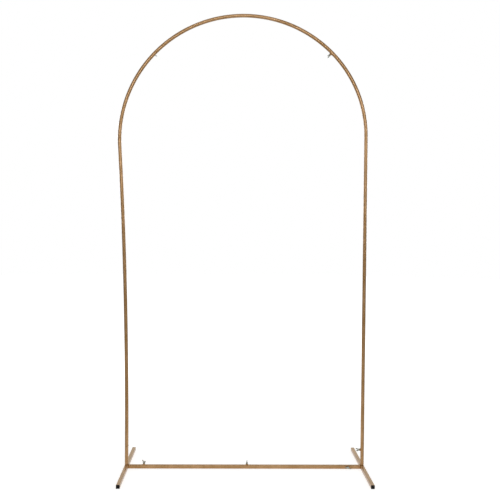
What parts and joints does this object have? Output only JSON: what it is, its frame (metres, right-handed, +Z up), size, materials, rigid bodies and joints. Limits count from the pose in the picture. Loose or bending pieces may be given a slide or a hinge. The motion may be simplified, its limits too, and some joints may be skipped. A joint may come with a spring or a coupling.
{
  "type": "balloon arch stand",
  "caption": "Free-standing round-topped arch of slim gold-finished tube on a flat base of square tube, held together by wing screws, for hanging balloons, flowers or drapes.",
  "frame": {"origin": "on the underside of the crossbar, half way between the two posts and in the plane of the arch, so at floor level", "axes": "+Z up, +X to the right along the crossbar, +Y to the rear along the feet"},
  "size_m": [1.1177, 0.58, 2.039],
  "materials": {
    "gold_tube": "satin champagne gold",
    "black_plastic": "moulded",
    "zinc_screw": "zinc plated"
  },
  "bodies": {
    "root": {"arch_left_screw_collar": "gold_tube", "arch_left_wing_screw": "zinc_screw", "arch_right_screw_collar": "gold_tube", "arch_right_wing_screw": "zinc_screw", "bar_left_screw_collar": "gold_tube", "bar_left_wing_screw": "zinc_screw", "bar_middle_screw_collar": "gold_tube", "bar_middle_wing_screw": "zinc_screw", "bar_right_screw_collar": "gold_tube", "bar_right_wing_screw": "zinc_screw", "left_bar_stub": "gold_tube", "left_crossbar": "gold_tube", "left_foot": "gold_tube", "left_front_plug": "black_plastic", "left_lower_post": "gold_tube", "left_post_screw_collar": "gold_tube", "left_post_stub": "gold_tube", "left_post_wing_screw": "zinc_screw", "left_rear_plug": "black_plastic", "left_upper_post": "gold_tube", "right_bar_stub": "gold_tube", "right_crossbar": "gold_tube", "right_foot": "gold_tube", "right_front_plug": "black_plastic", "right_lower_post": "gold_tube", "right_post_screw_collar": "gold_tube", "right_post_stub": "gold_tube", "right_post_wing_screw": "zinc_screw", "right_rear_plug": "black_plastic", "right_upper_post": "gold_tube", "top_arc": "gold_tube"}
  },
  "joints": []
}
